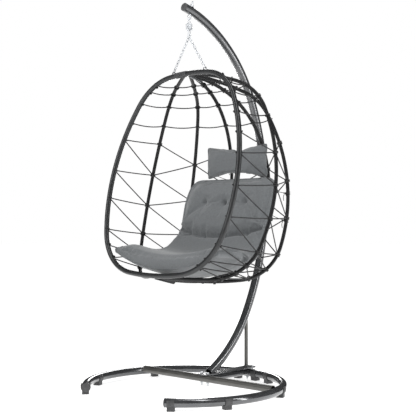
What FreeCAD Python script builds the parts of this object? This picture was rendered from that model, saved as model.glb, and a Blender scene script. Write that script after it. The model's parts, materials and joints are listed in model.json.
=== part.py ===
"""Hanging egg chair: C-shaped floor stand, sprung chain hanger and a laced egg basket.

Millimetres, +Z up.  The chair faces -Y and the pole rises behind it.  The origin is on the
floor, under the middle of the whole object.  All tubes are hollow and bent from tangent arcs.
"""
import FreeCAD, Part
import math
import os

import Sketcher
from FreeCAD import Placement, Rotation, Vector

DIMENSIONS = [
    # stand
    ("hang_axis_y", -80.8, "the hanging axis, measured from the origin"),
    ("base_tube_od", 42, "base ring and pole tube"),
    ("base_tube_wall", 2, "wall of the base ring and pole tube"),
    ("ring_radius", 487, "centreline radius of the base ring"),
    ("ring_centre_y", -30, "ring centre, from the hanging axis"),
    ("ring_height", 36, "ring centreline above the floor"),
    ("ring_gap_angle", 35, "half of the ring's front opening"),
    ("foot_length", 34, "length of a clip-on foot along the tube"),
    ("foot_clip_wall", 3.5, "wall of the foot's clip"),
    ("foot_block_width", 34, "width of the foot's block"),
    ("foot_clip_rise", 14, "how far the clip reaches above the tube's centre"),
    ("crossbar_od", 36, "crossbar tube"),
    ("crossbar_y", 113, "crossbar, from the hanging axis"),
    ("crossbar_height", 46, "crossbar centreline above the floor"),
    ("spine_od", 30, "spine tube between crossbar and ring"),
    ("spine_wall", 1.5, "wall of the crossbar, spine and strut tubes"),
    ("plate_width", 62, "mounting plate"),
    ("plate_thickness", 6, "mounting plate"),
    ("plate_overhang", 26, "plate past the crossbar and past the ring"),
    ("strut_od", 20, "brace strut"),
    ("strut_y", 430, "brace strut, from the hanging axis"),
    # pole
    ("pole_tip_height", 1910, "centre of the pole's upper end"),
    ("pole_tip_dip", 13.1, "how far the pole's tip points below level"),
    ("pole_top_radius", 737, "upper bend"),
    ("pole_top_turn", 52.2, "upper bend's angle"),
    ("pole_back_radius", 1275, "back bend"),
    ("pole_back_turn", 53.8, "back bend's angle"),
    ("pole_foot_radius", 702, "lower bend"),
    ("pole_foot_turn", 32.4, "lower bend's angle"),
    ("spigot_length", 160, "inner sleeve that joins the two pole halves"),
    ("eye_from_tip", 46, "eye bolt, measured along the pole from its tip"),
    ("eye_mean_radius", 10, "eye ring, to the middle of its wire"),
    ("eye_wire", 6, "eye bolt wire"),
    ("eye_tail", 54, "eye bolt above the pole's centreline"),
    # hanger
    ("drawbar_wire", 5, "spring drawbars"),
    ("drawbar_bend", 6.5, "radius of a drawbar's loop"),
    ("spring_base_drop", 54, "coil's lower end below the eye pivot"),
    ("spring_length", 30, "free coil"),
    ("spring_od", 34, "coil outside diameter"),
    ("spring_wire", 4, "coil wire"),
    ("spring_turns", 5, "coil turns"),
    ("hanger_drop", 77, "lower drawbar's loop below the eye pivot"),
    ("ring_link_radius", 11, "ring under the spring, to the middle of its wire"),
    ("ring_link_wire", 5, "ring under the spring"),
    ("chain_wire", 4, "chain wire"),
    ("chain_pitch", 17.6, "distance from one link to the next"),
    ("chain_play", 0.4, "play between two links"),
    ("chain_width", 14, "outside width of a link"),
    ("chain_links", 10, "small links in each chain"),
    ("end_link_inside", 19, "inside length of the chain's end link"),
    ("end_link_width", 20, "outside width of the chain's end link"),
    ("hook_play", 1.4, "play where a chain hangs on the ring and on its lug"),
    ("chain_spread", 6, "chains at the ring, from the middle"),
    ("lug_spread", 110, "chain lugs, from the middle of the hoop"),
    ("lug_rise", 24, "lug's wire above the hoop's centreline"),
    ("lug_width", 18, "lug, between its legs"),
    # basket
    ("basket_tilt", 13.2, "the basket leans back"),
    ("basket_height", 1030, "apex to bottom along the basket's axis"),
    ("hoop_od", 25, "hoop tube"),
    ("hoop_wall", 1.5, "wall of the hoop and rib tubes"),
    ("rib_od", 18, "rib tube"),
    ("bracket_thickness", 6, "bracket plates"),
    ("bracket_depth", 30, "height of a bracket plate"),
    ("top_bracket_length", 92, "upper bracket"),
    ("bottom_bracket_length", 135, "lower bracket"),
    ("cord_diameter", 5, "lacing cord"),
    # soft parts
    ("pillow_width", 412, "head pillow"),
    ("pillow_height", 160, "head pillow"),
    ("pillow_thickness", 60, "head pillow"),
    ("pillow_y", 356, "head pillow's middle, from the hanging axis"),
    ("pillow_z", 1151, "head pillow's middle"),
]

# Bends of each basket tube from the apex down, as radius and turn.  The side and base radii follow
# from the basket's height and from the two ends lying on one line.
BASKET_BENDS = {
    "hoop": {"crown": (1200, 6.2), "shoulder": (258, 55.4), "side": (None, 43.4), "hip": (272, 68.2)},
    "rib_1": {"crown": (1200, 9.0), "shoulder": (240, 52.5), "side": (None, 43.3), "hip": (258, 66.2)},
    "rib_2": {"crown": (1200, 13.3), "shoulder": (231, 38.8), "side": (None, 46.7), "hip": (244, 65.7)},
    "rib_3": {"crown": (942, 6.0), "shoulder": (484, 45.5), "side": (None, 49.2), "hip": (456, 67.7)},
}
for tube, tube_bends in BASKET_BENDS.items():
    for bend, (radius, turn) in tube_bends.items():
        if radius:
            DIMENSIONS.append((f"{tube}_{bend}_radius", radius, f"{tube} tube's {bend} bend"))
        DIMENSIONS.append((f"{tube}_{bend}_turn", turn, f"{tube} tube's {bend} bend, in degrees"))

# Each rib's plane: angle from the hoop towards the back, and where it starts beside the apex.
RIB_PLANES = {"rib_1": (32.8, 45, 17), "rib_2": (54.8, 11, 20.5), "rib_3": (77.0, 11.4, 52)}

FOOT_ANGLES = (38, 68, 115, 162, 175, -171, -115, -68, -38)

# The level rows of cord at the top, as drops below the apex.
TOP_ROWS = (39, 68, 126, 225)
# Where the cord crosses each tube below the rows, as distances down the basket's axis.
LEFT_NET = {
    "hoop": (320, 485, 633, 800, 883, 950),
    "rib_1": (271, 438, 606, 765, 880, 955),
    "rib_2": (333, 525, 716, 860, 960),
    "rib_3": (248, 438, 620, 790, 925, 990),
}
RIGHT_NET = {
    "hoop": (333, 438, 593, 741, 873, 946, 980),
    "rib_1": (359, 519, 685, 853, 923, 964, 998),
    "rib_2": (254, 438, 626, 816, 900, 960, 1005),
    "rib_3": (345, 520, 690, 850, 940, 1000),
}

# Seat and back pad, from the front edge to the top of the back.  Each cross-section has its
# place (y, z), the pad's slope there, its half width and thickness, and how far its sides lift.
PAD_SECTIONS = (
    (-190, 640, -8, 362, 32, 70),
    (-110, 630, -6, 380, 48, 76),
    (10, 614, 4, 374, 54, 58),
    (130, 641, 34, 334, 56, 26),
    (216, 734, 58, 306, 54, 8),
    (280, 866, 70, 308, 54, 14),
    (324, 985, 75, 306, 50, 20),
    (342, 1050, 77, 276, 30, 16),
)

SHORT = 0.4  # the shortest straight run in a bent wire
doc = FreeCAD.newDocument("HangingEggChair")
sheet = doc.addObject("Spreadsheet::Sheet", "Dims")
for row, (alias, value, meaning) in enumerate(DIMENSIONS, start=1):
    sheet.set(f"A{row}", alias)
    sheet.set(f"B{row}", str(value))
    sheet.setAlias(f"B{row}", alias)
    sheet.set(f"C{row}", meaning)
doc.recompute()
NODES = []


def dim(alias):
    """One driving dimension, read from the sheet."""
    return float(sheet.get(alias))


def cell(alias):
    """The same dimension as an expression."""
    return f"<<Dims>>.{alias}"


def hang(x, y, z):
    """A point given from the hanging axis."""
    return Vector(x, y + dim("hang_axis_y"), z)


def axes(origin, along_x, along_y):
    """A placement whose local x and y point along two directions."""
    return Placement(origin, Rotation(along_x, along_y, along_x.cross(along_y), "XYZ"))


def facing(origin, along_z):
    """A placement whose local z points along a direction."""
    return Placement(origin, Rotation(Vector(0, 0, 1), along_z))


# ---------------------------------------------------------------- document helpers

def new_body(label, placement=None):
    body = doc.addObject("PartDesign::Body", label)
    body.Label = label
    body.Placement = placement or Placement()
    NODES.append(body)
    return body


def new_feature(label, shape, placement=None):
    """A part whose shape is built here, for groups and for bent wire."""
    feature = doc.addObject("Part::Feature", label)
    feature.Label = label
    feature.Shape = shape
    feature.Placement = placement or Placement()
    NODES.append(feature)
    return feature


def new_sketch(body, name, role="XY_Plane", offset=None):
    plane = next(item for item in body.Origin.OriginFeatures if item.Role == role)
    sketch = body.newObject("Sketcher::SketchObject", f"{body.Label}_{name}")
    sketch.AttachmentSupport = [(plane, "")]
    sketch.MapMode = "FlatFace"
    if offset:
        sketch.AttachmentOffset = offset
    return sketch


def add_circle(sketch, diameter):
    """A circle about the sketch's origin, bound to an expression."""
    index = sketch.addGeometry(Part.Circle(Vector(), Vector(0, 0, 1), 10), False)
    sketch.addConstraint(Sketcher.Constraint("Coincident", index, 3, -1, 1))
    constraint = sketch.addConstraint(Sketcher.Constraint("Diameter", index, 20))
    sketch.setExpression(f"Constraints[{constraint}]", diameter)


def add_outline(sketch, corners):
    """A closed outline of straight lines."""
    for start, end in zip(corners, corners[1:] + corners[:1]):
        sketch.addGeometry(Part.LineSegment(Vector(*start, 0), Vector(*end, 0)), False)


def add_pad(body, sketch, length, midplane=False):
    pad = body.newObject("PartDesign::Pad", f"{sketch.Name}_pad")
    pad.Profile = sketch
    pad.Midplane = midplane
    pad.setExpression("Length", length)
    return pad


def add_pocket(body, sketch):
    pocket = body.newObject("PartDesign::Pocket", f"{sketch.Name}_pocket")
    pocket.Profile = sketch
    pocket.Type = "ThroughAll"
    pocket.Midplane = True
    return pocket


# ---------------------------------------------------------------- bent tubes

def step(point, heading, radius, turn):
    """Walk one right-hand bend in a plane; the heading is in degrees from local x."""
    before = math.radians(heading)
    after = math.radians(heading - turn)
    centre = point + Vector(math.sin(before), -math.cos(before), 0) * radius
    return centre, centre + Vector(-math.sin(after), math.cos(after), 0) * radius


def walk(bends):
    """The end point and heading after some bends, from the origin along local x."""
    point, heading = Vector(), 0.0
    for radius, turn in bends:
        point = step(point, heading, radius, turn)[1]
        heading -= turn
    return point, heading


def bent_tube(label, placement, bends, outside, wall):
    """A hollow tube along tangent arcs that start at the origin along local x.

    A bend is (radius, turn); a radius given as an alias is bound to the sheet.
    """
    body = new_body(label, placement)
    path = new_sketch(body, "path")
    point, heading = Vector(), 0.0
    for index, (radius, turn) in enumerate(bends):
        size = size_of(radius)
        middle = step(point, heading, size, turn / 2)[1]
        end = step(point, heading, size, turn)[1]
        path.addGeometry(Part.Arc(point, middle, end), False)
        point, heading = end, heading - turn
    for index in range(len(bends) - 1):
        path.addConstraint(Sketcher.Constraint("Tangent", index, 1, index + 1, 2))
    path.addConstraint(Sketcher.Constraint("Coincident", 0, 2, -1, 1))
    for index, (radius, turn) in enumerate(bends):
        if isinstance(radius, str):
            bound = path.addConstraint(Sketcher.Constraint("Radius", index, dim(radius)))
            path.setExpression(f"Constraints[{bound}]", cell(radius))
    doc.recompute()
    profile = body.newObject("Sketcher::SketchObject", f"{label}_profile")
    profile.AttachmentSupport = [(path, "Edge1")]
    profile.MapMode = "NormalToEdge"
    profile.MapPathParameter = 1.0
    add_circle(profile, outside)
    add_circle(profile, f"{outside} - 2 * {wall}")
    pipe = body.newObject("PartDesign::AdditivePipe", f"{label}_pipe")
    pipe.Profile = profile
    pipe.Spine = (path, [f"Edge{index + 1}" for index in range(len(bends))])
    return body


def straight_tube(label, start, end, outside, wall):
    """A hollow tube between two points."""
    along = end - start
    body = new_body(label, facing(start, along))
    profile = new_sketch(body, "profile")
    add_circle(profile, outside)
    add_circle(profile, f"{outside} - 2 * {wall}")
    pad = body.newObject("PartDesign::Pad", f"{label}_pad")
    pad.Profile = profile
    pad.Length = along.Length
    return body


def turned(label, placement, outline):
    """A solid turned about local z from an outline of radius and height pairs."""
    body = new_body(label, placement)
    profile = new_sketch(body, "outline", "XZ_Plane")
    add_outline(profile, outline)
    turn = body.newObject("PartDesign::Revolution", f"{label}_turn")
    turn.Profile = profile
    turn.ReferenceAxis = (profile, ["V_Axis"])
    turn.Angle = 360
    return body


def bent_wire(points, diameter, bend):
    """A solid wire along straight runs joined by tangent arcs of one radius."""
    edges = []
    start = points[0]
    for before, corner, after in zip(points, points[1:], points[2:]):
        arriving = (before - corner).normalize()
        leaving = (after - corner).normalize()
        half = arriving.getAngle(leaving) / 2
        cut = bend / math.tan(half)
        centre = corner + (arriving + leaving).normalize() * (bend / math.sin(half))
        first = corner + arriving * cut
        last = corner + leaving * cut
        middle = centre + (corner - centre).normalize() * bend
        edges.append(Part.LineSegment(start, first).toShape())
        edges.append(Part.Arc(first, middle, last).toShape())
        start = last
    edges.append(Part.LineSegment(start, points[-1]).toShape())
    along = (points[1] - points[0]).normalize()
    ring = Part.Wire(Part.Circle(points[0], along, diameter / 2).toShape())
    return Part.Wire(edges).makePipeShell([ring], True, False)


def hex_prism(across, height, centre, axis):
    """A hexagonal prism, as for a bolt's head or a nut."""
    corners = [Vector(across / math.sqrt(3), 0, 0)]
    for _ in range(6):
        corners.append(Rotation(Vector(0, 0, 1), 60).multVec(corners[-1]))
    prism = Part.Face(Part.makePolygon(corners)).extrude(Vector(0, 0, height))
    prism.Placement = Placement(centre, Rotation(Vector(0, 0, 1), axis))
    return prism


def bolt(seat, axis, shank, length, thickness=0.0):
    """A hexagon-head bolt: its head sits on the seat and its shank runs against the axis."""
    head = hex_prism(shank * 1.7, shank * 0.65, seat, axis)
    stem = Part.makeCylinder(shank / 2, length, seat + axis * 0.5, axis * -1)
    return head.fuse(stem)


def nut(seat, axis, shank):
    """A hexagon nut, bored to clear its bolt."""
    block = hex_prism(shank * 1.7, shank * 0.8, seat, axis)
    bore = Part.makeCylinder(shank / 2 + 0.1, shank * 2, seat - axis * 2, axis)
    return block.cut(bore)


# ---------------------------------------------------------------- stand

TUBE_R = dim("base_tube_od") / 2
RING_Y = dim("ring_centre_y")
RING_Z = dim("ring_height")
RING_R = dim("ring_radius")


def ring_frame(degrees):
    """Place on the ring's centreline, its outward direction and its tangent, from the front."""
    angle = math.radians(degrees)
    outward = Vector(math.sin(angle), -math.cos(angle), 0)
    tangent = Vector(math.cos(angle), math.sin(angle), 0)
    return hang(0, RING_Y, RING_Z) + outward * RING_R, outward, tangent


def sleeve_diameter():
    """The outside of a sleeve that slides into the base tube, as an expression."""
    return f"({cell('base_tube_od')} - 2 * {cell('base_tube_wall')} - 0.4)"


def make_base_ring():
    half_gap = 0.5
    for name, side in (("left", -1), ("right", 1)):
        start_turn = math.degrees(half_gap / RING_R)
        turn = 180 - dim("ring_gap_angle") - start_turn
        point, outward, tangent = ring_frame(180 - side * start_turn)
        frame = axes(point, tangent * -side, outward)
        bent_tube(f"base_tube_{name}", frame, [("ring_radius", turn)],
                  cell("base_tube_od"), cell("base_tube_wall"))
    half_turn = 8
    point, outward, tangent = ring_frame(180 + half_turn)
    bent_tube("base_joint_sleeve", axes(point, tangent * -1, outward), [("ring_radius", 2 * half_turn)],
              sleeve_diameter(), cell("base_tube_wall"))


def make_end_caps():
    inside = TUBE_R - dim("base_tube_wall") - 0.1
    outline = [(0, -16), (inside, -16), (inside, 0.3), (TUBE_R, 0.3), (TUBE_R, 3), (TUBE_R - 3, 6), (0, 7)]
    for name, side in (("left", -1), ("right", 1)):
        point, _, tangent = ring_frame(side * dim("ring_gap_angle"))
        turned(f"base_end_cap_{name}", facing(point, tangent * -side), outline)


def make_feet():
    for number, degrees in enumerate(FOOT_ANGLES, start=1):
        point, outward, _ = ring_frame(degrees)
        body = new_body(f"foot_{number}", axes(point, outward, Vector(0, 0, 1)))
        clip = new_sketch(body, "clip")
        add_circle(clip, f"{cell('base_tube_od')} + 2 * {cell('foot_clip_wall')}")
        add_pad(body, clip, cell("foot_length"), midplane=True)
        block = new_sketch(body, "block")
        half = dim("foot_block_width") / 2
        top = -TUBE_R / 2
        add_outline(block, [(-half, -RING_Z), (half, -RING_Z), (half, top), (-half, top)])
        add_pad(body, block, cell("foot_length"), midplane=True)
        seat = new_sketch(body, "seat")
        add_circle(seat, f"{cell('base_tube_od')} + 0.8")
        add_pocket(body, seat)
        mouth = new_sketch(body, "mouth")
        rise, far = dim("foot_clip_rise"), 2 * TUBE_R
        add_outline(mouth, [(-far, rise), (far, rise), (far, far), (-far, far)])
        add_pocket(body, mouth)


def make_crossbar_and_plate():
    bar_r = dim("crossbar_od") / 2
    offset = dim("crossbar_y") - RING_Y
    reach = math.sqrt(RING_R ** 2 - offset ** 2) - TUBE_R + 4
    straight_tube("crossbar", hang(-reach, dim("crossbar_y"), dim("crossbar_height")),
                  hang(reach, dim("crossbar_y"), dim("crossbar_height")),
                  cell("crossbar_od"), cell("spine_wall"))
    ring_back = RING_Y + RING_R
    spine_r = dim("spine_od") / 2
    straight_tube("spine_tube", hang(0, dim("crossbar_y") + bar_r - 3, 42),
                  hang(0, ring_back - TUBE_R + 3, 42), cell("spine_od"), cell("spine_wall"))
    top = dim("crossbar_height") + bar_r + 0.3
    length = ring_back - dim("crossbar_y") + 2 * dim("plate_overhang")
    middle_y = (ring_back + dim("crossbar_y")) / 2
    body = new_body("mounting_plate", Placement(hang(0, middle_y, top), Rotation()))
    outline = new_sketch(body, "outline")
    half_w, half_l, corner = dim("plate_width") / 2, length / 2, 12
    add_outline(outline, [
        (-half_w + corner, -half_l), (half_w - corner, -half_l), (half_w, -half_l + corner),
        (half_w, half_l - corner), (half_w - corner, half_l), (-half_w + corner, half_l),
        (-half_w, half_l - corner), (-half_w, -half_l + corner)])
    add_pad(body, outline, cell("plate_thickness"))
    return top


def make_plate_bolts(plate_bottom):
    up = Vector(0, 0, 1)
    top = plate_bottom + dim("plate_thickness")
    front, rear = dim("crossbar_y"), RING_Y + RING_R
    bolts, nuts, spacers = [], [], []
    ring_top, ring_low = RING_Z + TUBE_R, RING_Z - TUBE_R
    bar_low = dim("crossbar_height") - dim("crossbar_od") / 2
    sleeve_height = plate_bottom - ring_top - 0.2
    for side in (-1, 1):
        for x, y, length, low in ((21, front, 62, bar_low), (16, rear, 72, ring_low)):
            bolts.append(bolt(hang(side * x, y, top + 1.7), up, 8, length))
            nuts.append(nut(hang(side * x, y, low - 6.6), up, 8))
            washer = Part.makeCylinder(8.5, 1.5, hang(side * x, y, top + 0.1))
            spacers.append(washer.cut(Part.makeCylinder(4.2, 2, hang(side * x, y, top))))
        sleeve = Part.makeCylinder(9, sleeve_height, hang(side * 16, rear, ring_top + 0.1))
        spacers.append(sleeve.cut(Part.makeCylinder(4.2, 30, hang(side * 16, rear, ring_top - 5))))
    new_feature("plate_bolts", Part.makeCompound(bolts))
    new_feature("plate_nuts", Part.makeCompound(nuts))
    new_feature("plate_washers", Part.makeCompound(spacers))


# ---------------------------------------------------------------- pole

POLE_BENDS = [(dim(f"pole_{name}_radius"), dim(f"pole_{name}_turn")) for name in ("top", "back", "foot")]


def pole_axes(along, tip):
    """The frame on the pole's centreline after a given length of tube."""
    point, heading = Vector(), 0.0
    for radius, turn in POLE_BENDS:
        arc = math.radians(turn) * radius
        part = min(1.0, along / arc)
        point = step(point, heading, radius, turn * part)[1]
        heading -= turn * part
        along -= arc
        if along <= 0:
            break
    level = axes(tip, Vector(0, 1, 0), Vector(0, 0, 1))
    dipped = level * Placement(Vector(), Rotation(Vector(0, 0, 1), -dim("pole_tip_dip")))
    return dipped * Placement(point, Rotation(Vector(0, 0, 1), heading))


def direction(frame, x, y):
    return frame.Rotation.multVec(Vector(x, y, 0))


def pole_tip():
    """The tip, placed so that the eye's middle hangs on the hanging axis."""
    trial = pole_axes(dim("eye_from_tip"), hang(0, 0, dim("pole_tip_height")))
    eye = trial.Base - direction(trial, 0, 1) * eye_drop()
    return hang(0, -(eye.y - dim("hang_axis_y")), dim("pole_tip_height"))


def eye_drop():
    """From the pole's centreline to the eye's middle."""
    return TUBE_R + dim("eye_mean_radius") + dim("eye_wire") / 2 + 2


def make_pole(plate_top):
    tip = pole_tip()
    top_arc, back_arc, foot_arc = [math.radians(turn) * radius for radius, turn in POLE_BENDS]
    upper_turn = 90 - dim("pole_tip_dip") - dim("pole_top_turn")
    lower_turn = dim("pole_back_turn") - upper_turn
    split = top_arc + math.radians(upper_turn) * dim("pole_back_radius")
    bent_tube("pole_upper", pole_axes(0, tip),
                      [("pole_top_radius", dim("pole_top_turn")), ("pole_back_radius", upper_turn)],
                      cell("base_tube_od"), cell("base_tube_wall"))
    bent_tube("pole_lower", pole_axes(split + 0.6, tip),
              [("pole_back_radius", lower_turn), ("pole_foot_radius", dim("pole_foot_turn"))],
              cell("base_tube_od"), cell("base_tube_wall"))
    half = dim("spigot_length") / 2
    turn = math.degrees(2 * half / dim("pole_back_radius"))
    bent_tube("pole_spigot", pole_axes(split - half, tip), [("pole_back_radius", turn)],
              sleeve_diameter(), cell("base_tube_wall"))
    screws = []
    for offset in (-45, 45):
        frame = pole_axes(split + offset, tip)
        out = direction(frame, 0, 1)
        screws.append(bolt(frame.Base + out * (TUBE_R + 0.2), out, 6, 9))
    new_feature("pole_joint_screws", Part.makeCompound(screws))
    inside = TUBE_R - dim("base_tube_wall") - 0.1
    outline = [(0, -14), (inside, -14), (inside, 0.3), (TUBE_R, 0.3), (TUBE_R, 3), (TUBE_R - 2, 5), (0, 5)]
    frame = pole_axes(0, tip)
    turned("pole_end_cap", facing(frame.Base, direction(frame, -1, 0)), outline)
    # the strut stands on the plate and meets the pole's underside
    lowest = lowest_pole_point_above(dim("strut_y"), tip)
    straight_tube("brace_strut", hang(0, dim("strut_y"), plate_top + 0.2),
                  hang(0, dim("strut_y"), lowest), cell("strut_od"), cell("spine_wall"))
    collar = Part.makeCylinder(17, 4, hang(0, dim("strut_y"), plate_top + 0.1))
    bore = Part.makeCylinder(dim("strut_od") / 2 + 0.1, 10, hang(0, dim("strut_y"), plate_top - 3))
    new_feature("strut_collar", collar.cut(bore))
    return tip


def lowest_pole_point_above(strut_y, tip):
    """Height of the pole's centreline over a place on the plate."""
    total = sum(math.radians(turn) * radius for radius, turn in POLE_BENDS)
    along = total
    while pole_axes(along, tip).Base.y - dim("hang_axis_y") < strut_y:
        along -= 1
    slope = direction(pole_axes(along, tip), 1, 0)
    return pole_axes(along, tip).Base.z - TUBE_R / abs(slope.y) + 5


def make_eye_bolt(tip):
    """An eye bolt through the pole, with a nut and washer on top and a collar below."""
    frame = pole_axes(dim("eye_from_tip"), tip)
    up = direction(frame, 0, 1)
    eye = frame.Base - up * eye_drop()
    wire = dim("eye_wire")
    ring = Part.makeTorus(dim("eye_mean_radius"), wire / 2, eye, Vector(1, 0, 0))
    start = eye + up * (dim("eye_mean_radius") - 1)
    shank = Part.makeCylinder(wire / 2 + 1, (frame.Base + up * dim("eye_tail") - start).Length, start, up)
    collar = Part.makeCylinder(7, 2, frame.Base - up * (TUBE_R + 2.2), up)
    new_feature("eye_bolt", ring.fuse(shank).fuse(collar))
    seat = frame.Base + up * (TUBE_R + 0.3)
    saddle = Part.makeCylinder(11, 3, seat, up).cut(Part.makeCylinder(4.2, 6, seat - up, up))
    nuts = [nut(seat + up * 3.2, up, 8), nut(seat + up * 10.2, up, 8)]
    new_feature("eye_bolt_nuts", Part.makeCompound(nuts + [saddle]))
    return eye - Vector(0, 0, dim("eye_mean_radius"))


# ---------------------------------------------------------------- spring hanger and chains

def make_hanger(pivot):
    """Two hooked drawbars squeeze the coil between them when the chair is loaded."""
    wire, bend = dim("drawbar_wire"), dim("drawbar_bend")
    low = pivot.z - dim("spring_base_drop")
    high = low + dim("spring_length")
    hook = dim("spring_od") / 2 - 2
    seat = wire / 2 + 0.4
    centre = Vector(0, pivot.y, 0)

    def leg(axis, side, z):
        return centre + axis * (side * bend) + Vector(0, 0, z)

    def drawbar(axis, loop_z, hook_z, sign):
        left = centre + axis * -hook + Vector(0, 0, hook_z)
        right = centre + axis * hook + Vector(0, 0, hook_z)
        crown = loop_z + sign * bend
        points = [left, leg(axis, -1, hook_z), leg(axis, -1, crown), leg(axis, 1, crown),
                  leg(axis, 1, hook_z), right]
        return bent_wire(points, wire, bend - SHORT / 2)

    x_axis, y_axis = Vector(1, 0, 0), Vector(0, 1, 0)
    new_feature("upper_drawbar", drawbar(x_axis, pivot.z, low - seat, 1))
    loop = Vector(0, pivot.y, pivot.z - dim("hanger_drop"))
    new_feature("lower_drawbar", drawbar(y_axis, loop.z, high + seat, -1))
    coil_start = centre + Vector(0, 0, low + dim("spring_wire") / 2)
    coil = new_body("spring_coil", Placement(coil_start, Rotation()))
    section = new_sketch(coil, "section", "XZ_Plane")
    mean = (dim("spring_od") - dim("spring_wire")) / 2
    section.addGeometry(Part.Circle(Vector(mean, 0, 0), Vector(0, 0, 1), dim("spring_wire") / 2), False)
    helix = coil.newObject("PartDesign::AdditiveHelix", "spring_coil_helix")
    helix.Profile = section
    helix.ReferenceAxis = (section, ["V_Axis"])
    helix.Mode = "height-turns-growth"
    helix.Height = dim("spring_length") - dim("spring_wire")
    helix.Turns = dim("spring_turns")
    helix.Growth = 0
    return loop


def chain_link(inside, width, wire, centre, along, across):
    """One oval link: its long axis lies along, and its plane holds across."""
    end = (width - wire) / 2
    reach = (inside + wire) / 2 - end
    corners = [centre + along * reach + across * end, centre - along * reach + across * end,
               centre - along * reach - across * end, centre + along * reach - across * end]
    edges = [
        Part.LineSegment(corners[0], corners[1]).toShape(),
        Part.Arc(corners[1], centre - along * (reach + end), corners[2]).toShape(),
        Part.LineSegment(corners[2], corners[3]).toShape(),
        Part.Arc(corners[3], centre + along * (reach + end), corners[0]).toShape(),
    ]
    ring = Part.Wire(Part.Circle(corners[0], along, wire / 2).toShape())
    return Part.Wire(edges).makePipeShell([ring], True, False)


def chain_length():
    """From the ring's wire to the lug's wire, along a chain."""
    wire, play, hook = dim("chain_wire"), dim("chain_play") / 2, dim("hook_play")
    inside = dim("chain_pitch") + dim("chain_play")
    first = dim("end_link_inside") - dim("ring_link_wire") / 2 - hook - wire / 2 - play
    run = (inside + wire) / 2 + dim("chain_pitch") * (dim("chain_links") - 1)
    return first + run + inside / 2 - wire / 2 - hook


def make_chains(loop):
    """A ring under the spring and two chains that spread to the hoop's lugs."""
    ring_r, ring_wire, wire = dim("ring_link_radius"), dim("ring_link_wire"), dim("chain_wire")
    ring_centre = loop - Vector(0, 0, ring_r)
    new_feature("hanger_ring", Part.makeTorus(ring_r, ring_wire / 2, ring_centre, Vector(0, 1, 0)))
    spread, play = dim("chain_spread"), dim("chain_play") / 2
    top_z = ring_centre.z - math.sqrt(ring_r ** 2 - spread ** 2)
    run_x = dim("lug_spread") - spread
    drop = math.sqrt(chain_length() ** 2 - run_x ** 2)
    across, inside = Vector(0, 1, 0), dim("chain_pitch") + dim("chain_play")
    for name, side in (("left", -1), ("right", 1)):
        start = Vector(side * spread, loop.y, top_z)
        along = Vector(side * run_x, 0, -drop).normalize()
        middle = dim("end_link_inside") / 2 - ring_wire / 2 - dim("hook_play")
        links = [chain_link(dim("end_link_inside"), dim("end_link_width"), wire,
                            start + along * middle, along, across)]
        place = middle + dim("end_link_inside") / 2 - wire / 2 - play + (inside + wire) / 2
        for number in range(int(dim("chain_links"))):
            turn = across if number % 2 else along.cross(across)
            spot = start + along * place
            links.append(chain_link(inside, dim("chain_width"), wire, spot, along, turn))
            place += dim("chain_pitch")
        new_feature(f"chain_{name}", Part.makeCompound(links))
    return Vector(0, loop.y, top_z - drop)


# ---------------------------------------------------------------- basket frame

TILT = math.radians(dim("basket_tilt"))
UP = Vector(0, math.sin(TILT), math.cos(TILT))
BACK = Vector(0, math.cos(TILT), -math.sin(TILT))
ACROSS = Vector(1, 0, 0)


def basket_bends(name):
    """All five bends of a basket tube; the side and base radii close the outline."""
    turns = [dim(f"{name}_{bend}_turn") for bend in BASKET_BENDS[name]]
    turns.append(180 - sum(turns))
    aliases = [f"{name}_{bend}_radius" if given[0] else None for bend, given in BASKET_BENDS[name].items()]
    radii = [dim(alias) if alias else None for alias in aliases] + [None]
    angles = [math.radians(sum(turns[:count])) for count in range(6)]
    spans_x = [math.sin(b) - math.sin(a) for a, b in zip(angles, angles[1:])]
    spans_y = [math.cos(a) - math.cos(b) for a, b in zip(angles, angles[1:])]
    known_x = sum(radius * span for radius, span in zip(radii, spans_x) if radius)
    known_y = dim("basket_height") - sum(radius * span for radius, span in zip(radii, spans_y) if radius)
    det = spans_x[2] * spans_y[4] - spans_x[4] * spans_y[2]
    side = (-known_x * spans_y[4] - spans_x[4] * known_y) / det
    base = (spans_x[2] * known_y + known_x * spans_y[2]) / det
    return list(zip((aliases[0], aliases[1], side, aliases[3], base), turns))


def size_of(radius):
    """A bend's radius, given as a number or as an alias."""
    return dim(radius) if isinstance(radius, str) else radius


def lug_height():
    """The lugs' wire over the hoop's apex, along the basket's axis."""
    crown = dim("hoop_crown_radius")
    sink = crown - math.sqrt(crown ** 2 - dim("lug_spread") ** 2)
    return dim("lug_rise") - sink


def tube_frame(name, side, apex):
    """Where a basket tube starts, and the directions of its plane."""
    if name == "hoop":
        return axes(apex + ACROSS * (0.5 * side), ACROSS * side, UP)
    angle, off_x, off_back = RIB_PLANES[name]
    out = ACROSS * (side * math.cos(math.radians(angle))) + BACK * math.sin(math.radians(angle))
    return axes(apex + ACROSS * (side * off_x) + BACK * off_back, out, UP)


def tube_point(name, side, apex, depth):
    """The tube's centreline point at a depth below the apex, and its tangent."""
    point, heading = Vector(), 0.0
    for bend, turn in basket_bends(name):
        radius = size_of(bend)
        end = step(point, heading, radius, turn)[1]
        if -end.y >= depth or heading - turn < -179.9:
            ratio = math.cos(math.radians(heading)) - (depth + point.y) / radius
            reached = -math.degrees(math.acos(max(-1.0, min(1.0, ratio))))
            spot = step(point, heading, radius, heading - reached)[1]
            tangent = Vector(math.cos(math.radians(reached)), math.sin(math.radians(reached)), 0)
            frame = tube_frame(name, side, apex)
            return frame.multVec(spot), frame.Rotation.multVec(tangent)
        point, heading = end, heading - turn
    raise ValueError(name)


def depth_of_drop(name, side, apex, drop):
    """The depth at which a tube is a given drop below the apex, measured straight down."""
    low, high = 0.0, dim("basket_height") / 2
    for _ in range(30):
        middle = (low + high) / 2
        if apex.z - tube_point(name, side, apex, middle)[0].z < drop:
            low = middle
        else:
            high = middle
    return low


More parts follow.
